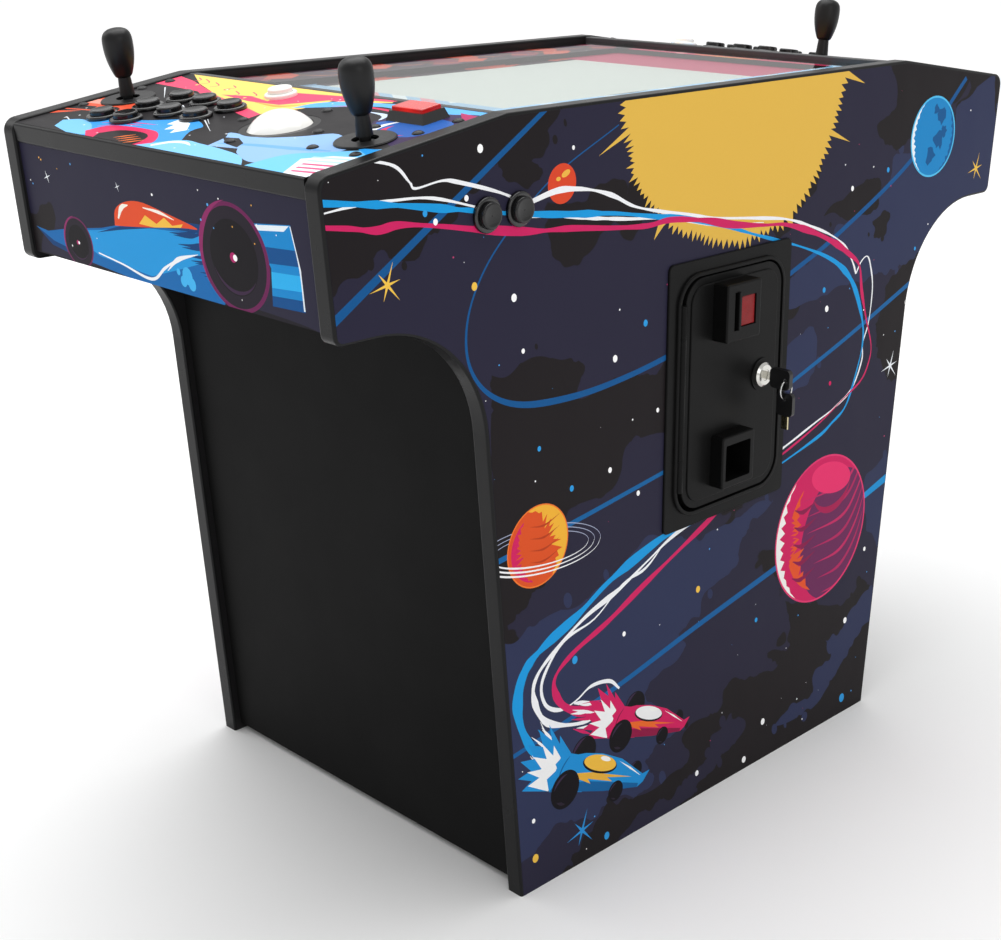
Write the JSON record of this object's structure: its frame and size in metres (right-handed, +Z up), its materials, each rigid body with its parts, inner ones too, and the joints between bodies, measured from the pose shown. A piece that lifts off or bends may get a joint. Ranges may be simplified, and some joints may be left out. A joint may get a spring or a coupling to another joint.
{
  "type": "cocktail arcade cabinet",
  "caption": "Waist-high two-ended arcade table with glass-topped screen, sloping control decks with joysticks, push buttons and trackball, and a coin door in its side.",
  "frame": {"origin": "on the floor at the middle of the cabinet", "axes": "+Z up, Y along the cabinet with the front control deck at -Y, +X towards the coin door"},
  "size_m": [0.5724, 1.0776, 0.8561],
  "materials": {
    "laminate": "printed matt laminate on board",
    "black_board": "matt black laminate on board",
    "trim": "satin extruded edge trim",
    "deck_print": "printed satin overlay on board",
    "glass": "clear toughened glass",
    "screen": "monitor, pale when lit, semi-gloss",
    "button_black": "polished moulded plastic",
    "button_white": "milky translucent plastic",
    "button_red": "clear red plastic",
    "stick_black": "satin moulded knob on a steel shaft",
    "switch": "moulded switch",
    "ball": "polished phenolic ball",
    "housing": "moulded housing",
    "black_steel": "black powder coat",
    "bolt_black": "black oxide",
    "steel": "bright steel",
    "lock": "chromed",
    "computer_case": "matt case, mostly air inside, so drawn as light as plastic"
  },
  "bodies": {
    "cabinet": {"side_panel_left": "laminate", "side_panel_right": "laminate", "edge_trim": "trim", "front_control_panel": "deck_print", "rear_control_panel": "deck_print", "aprons": "laminate", "inner_boards": "black_board", "front_leg_panel": "black_board", "rear_leg_panel": "black_board", "screen_supports": "black_board", "glass": "glass", "monitor_bezel": "black_board", "monitor": "screen", "computer": "computer_case", "power_inlet": "housing", "speakers": "housing", "button_bodies": "button_black", "button_switches": "switch", "panel_fasteners": "bolt_black", "joystick_bases": "black_steel", "joystick_dust_washers": "stick_black", "trackball_housing": "housing", "coin_door_frame": "black_steel"},
    "front_button_1": {"front_button_1": "button_black"},
    "front_button_2": {"front_button_2": "button_black"},
    "front_button_3": {"front_button_3": "button_black"},
    "front_button_4": {"front_button_4": "button_black"},
    "front_button_5": {"front_button_5": "button_black"},
    "front_button_6": {"front_button_6": "button_black"},
    "front_button_7": {"front_button_7": "button_black"},
    "front_button_8": {"front_button_8": "button_black"},
    "rear_button_1": {"rear_button_1": "button_black"},
    "rear_button_2": {"rear_button_2": "button_black"},
    "rear_button_3": {"rear_button_3": "button_black"},
    "rear_button_4": {"rear_button_4": "button_black"},
    "rear_button_5": {"rear_button_5": "button_black"},
    "rear_button_6": {"rear_button_6": "button_black"},
    "rear_button_7": {"rear_button_7": "button_black"},
    "rear_button_8": {"rear_button_8": "button_black"},
    "front_start_button": {"front_start_button": "button_white"},
    "rear_start_button": {"rear_start_button": "button_white"},
    "lit_button": {"lit_button": "button_red"},
    "side_button_left_1": {"side_button_left_1": "button_black"},
    "side_button_left_2": {"side_button_left_2": "button_black"},
    "side_button_right_1": {"side_button_right_1": "button_black"},
    "side_button_right_2": {"side_button_right_2": "button_black"},
    "joystick_1_pivot": {"joystick_1_pivot": "steel"},
    "joystick_1_stick": {"joystick_1_stick": "stick_black"},
    "joystick_2_pivot": {"joystick_2_pivot": "steel"},
    "joystick_2_stick": {"joystick_2_stick": "stick_black"},
    "joystick_3_pivot": {"joystick_3_pivot": "steel"},
    "joystick_3_stick": {"joystick_3_stick": "stick_black"},
    "trackball": {"trackball": "ball"},
    "trackball_roller": {"trackball_roller": "steel"},
    "coin_door": {"coin_door": "black_steel", "coin_fittings": "housing"},
    "coin_reject_button": {"coin_reject_button": "button_red"},
    "coin_return_flap": {"coin_return_flap": "housing"},
    "lock_plug": {"lock_plug": "lock"},
    "spare_keys": {"spare_keys": "steel"}
  },
  "joints": [
    {"name": "front_button_1_press", "type": "slide", "parent": "cabinet", "child": "front_button_1", "axis": [0, 0.151, -0.9885], "range_m": [0, 0.003], "stiffness_N_per_m": 350, "springref_m": -0.002},
    {"name": "front_button_2_press", "type": "slide", "parent": "cabinet", "child": "front_button_2", "axis": [0, 0.151, -0.9885], "range_m": [0, 0.003], "stiffness_N_per_m": 350, "springref_m": -0.002},
    {"name": "front_button_3_press", "type": "slide", "parent": "cabinet", "child": "front_button_3", "axis": [0, 0.151, -0.9885], "range_m": [0, 0.003], "stiffness_N_per_m": 350, "springref_m": -0.002},
    {"name": "front_button_4_press", "type": "slide", "parent": "cabinet", "child": "front_button_4", "axis": [0, 0.151, -0.9885], "range_m": [0, 0.003], "stiffness_N_per_m": 350, "springref_m": -0.002},
    {"name": "front_button_5_press", "type": "slide", "parent": "cabinet", "child": "front_button_5", "axis": [0, 0.151, -0.9885], "range_m": [0, 0.003], "stiffness_N_per_m": 350, "springref_m": -0.002},
    {"name": "front_button_6_press", "type": "slide", "parent": "cabinet", "child": "front_button_6", "axis": [0, 0.151, -0.9885], "range_m": [0, 0.003], "stiffness_N_per_m": 350, "springref_m": -0.002},
    {"name": "front_button_7_press", "type": "slide", "parent": "cabinet", "child": "front_button_7", "axis": [0, 0.151, -0.9885], "range_m": [0, 0.003], "stiffness_N_per_m": 350, "springref_m": -0.002},
    {"name": "front_button_8_press", "type": "slide", "parent": "cabinet", "child": "front_button_8", "axis": [0, 0.151, -0.9885], "range_m": [0, 0.003], "stiffness_N_per_m": 350, "springref_m": -0.002},
    {"name": "rear_button_1_press", "type": "slide", "parent": "cabinet", "child": "rear_button_1", "axis": [0, -0.151, -0.9885], "range_m": [0, 0.003], "stiffness_N_per_m": 350, "springref_m": -0.002},
    {"name": "rear_button_2_press", "type": "slide", "parent": "cabinet", "child": "rear_button_2", "axis": [0, -0.151, -0.9885], "range_m": [0, 0.003], "stiffness_N_per_m": 350, "springref_m": -0.002},
    {"name": "rear_button_3_press", "type": "slide", "parent": "cabinet", "child": "rear_button_3", "axis": [0, -0.151, -0.9885], "range_m": [0, 0.003], "stiffness_N_per_m": 350, "springref_m": -0.002},
    {"name": "rear_button_4_press", "type": "slide", "parent": "cabinet", "child": "rear_button_4", "axis": [0, -0.151, -0.9885], "range_m": [0, 0.003], "stiffness_N_per_m": 350, "springref_m": -0.002},
    {"name": "rear_button_5_press", "type": "slide", "parent": "cabinet", "child": "rear_button_5", "axis": [0, -0.151, -0.9885], "range_m": [0, 0.003], "stiffness_N_per_m": 350, "springref_m": -0.002},
    {"name": "rear_button_6_press", "type": "slide", "parent": "cabinet", "child": "rear_button_6", "axis": [0, -0.151, -0.9885], "range_m": [0, 0.003], "stiffness_N_per_m": 350, "springref_m": -0.002},
    {"name": "rear_button_7_press", "type": "slide", "parent": "cabinet", "child": "rear_button_7", "axis": [0, -0.151, -0.9885], "range_m": [0, 0.003], "stiffness_N_per_m": 350, "springref_m": -0.002},
    {"name": "rear_button_8_press", "type": "slide", "parent": "cabinet", "child": "rear_button_8", "axis": [0, -0.151, -0.9885], "range_m": [0, 0.003], "stiffness_N_per_m": 350, "springref_m": -0.002},
    {"name": "front_start_button_press", "type": "slide", "parent": "cabinet", "child": "front_start_button", "axis": [0, 0.151, -0.9885], "range_m": [0, 0.003], "stiffness_N_per_m": 350, "springref_m": -0.002},
    {"name": "rear_start_button_press", "type": "slide", "parent": "cabinet", "child": "rear_start_button", "axis": [0, -0.151, -0.9885], "range_m": [0, 0.003], "stiffness_N_per_m": 350, "springref_m": -0.002},
    {"name": "lit_button_press", "type": "slide", "parent": "cabinet", "child": "lit_button", "axis": [0, 0.151, -0.9885], "range_m": [0, 0.003], "stiffness_N_per_m": 350, "springref_m": -0.002},
    {"name": "side_button_left_1_press", "type": "slide", "parent": "cabinet", "child": "side_button_left_1", "axis": [1, 0, 0], "range_m": [0, 0.003], "stiffness_N_per_m": 350, "springref_m": -0.002},
    {"name": "side_button_left_2_press", "type": "slide", "parent": "cabinet", "child": "side_button_left_2", "axis": [1, 0, 0], "range_m": [0, 0.003], "stiffness_N_per_m": 350, "springref_m": -0.002},
    {"name": "side_button_right_1_press", "type": "slide", "parent": "cabinet", "child": "side_button_right_1", "axis": [-1, 0, 0], "range_m": [0, 0.003], "stiffness_N_per_m": 350, "springref_m": -0.002},
    {"name": "side_button_right_2_press", "type": "slide", "parent": "cabinet", "child": "side_button_right_2", "axis": [-1, 0, 0], "range_m": [0, 0.003], "stiffness_N_per_m": 350, "springref_m": -0.002},
    {"name": "joystick_1_up_down", "type": "hinge", "parent": "cabinet", "child": "joystick_1_pivot", "pos_m": [-0.2, -0.4203, 0.75244], "axis": [1, 0, 0], "range_deg": [-8, 8], "stiffness_Nm_per_rad": 0.6},
    {"name": "joystick_1_left_right", "type": "hinge", "parent": "joystick_1_pivot", "child": "joystick_1_stick", "pos_m": [-0.2, -0.4203, 0.75244], "axis": [0, 0.9885, 0.151], "range_deg": [-8, 8], "stiffness_Nm_per_rad": 0.6},
    {"name": "joystick_2_up_down", "type": "hinge", "parent": "cabinet", "child": "joystick_2_pivot", "pos_m": [0.193, -0.43117, 0.75078], "axis": [1, 0, 0], "range_deg": [-8, 8], "stiffness_Nm_per_rad": 0.6},
    {"name": "joystick_2_left_right", "type": "hinge", "parent": "joystick_2_pivot", "child": "joystick_2_stick", "pos_m": [0.193, -0.43117, 0.75078], "axis": [0, 0.9885, 0.151], "range_deg": [-8, 8], "stiffness_Nm_per_rad": 0.6},
    {"name": "joystick_3_up_down", "type": "hinge", "parent": "cabinet", "child": "joystick_3_pivot", "pos_m": [0.066, 0.4203, 0.75244], "axis": [-1, 0, 0], "range_deg": [-8, 8], "stiffness_Nm_per_rad": 0.6},
    {"name": "joystick_3_left_right", "type": "hinge", "parent": "joystick_3_pivot", "child": "joystick_3_stick", "pos_m": [0.066, 0.4203, 0.75244], "axis": [0, -0.9885, 0.151], "range_deg": [-8, 8], "stiffness_Nm_per_rad": 0.6},
    {"name": "trackball_roll", "type": "hinge", "parent": "cabinet", "child": "trackball", "pos_m": [0.067, -0.42933, 0.75855], "axis": [1, 0, 0], "continuous": true},
    {"name": "trackball_roller_spin", "type": "hinge", "parent": "cabinet", "child": "trackball_roller", "pos_m": [0.067, -0.46921, 0.74021], "axis": [1, 0, 0], "continuous": true},
    {"name": "coin_door_hinge", "type": "hinge", "parent": "cabinet", "child": "coin_door", "pos_m": [0.2615, -0.0765, 0.48], "axis": [0, 0, -1], "range_deg": [0, 110]},
    {"name": "coin_reject_press", "type": "slide", "parent": "coin_door", "child": "coin_reject_button", "axis": [-1, 0, 0], "range_m": [0, 0.003], "stiffness_N_per_m": 350, "springref_m": -0.002},
    {"name": "coin_return_flap_swing", "type": "hinge", "parent": "coin_door", "child": "coin_return_flap", "pos_m": [0.24, 0, 0.418], "axis": [0, 1, 0], "range_deg": [0, 60]},
    {"name": "coin_door_lock_turn", "type": "hinge", "parent": "coin_door", "child": "lock_plug", "pos_m": [0.266, 0.057, 0.482], "axis": [1, 0, 0], "range_deg": [0, 90]},
    {"name": "spare_keys_swing", "type": "hinge", "parent": "lock_plug", "child": "spare_keys", "pos_m": [0.2965, 0.057, 0.481], "axis": [0, 1, 0], "range_deg": [-60, 20]}
  ],
  "couplings": [
    {"joint": "trackball_roller_spin", "follows": "trackball_roll", "ratio": -6.9273}
  ]
}
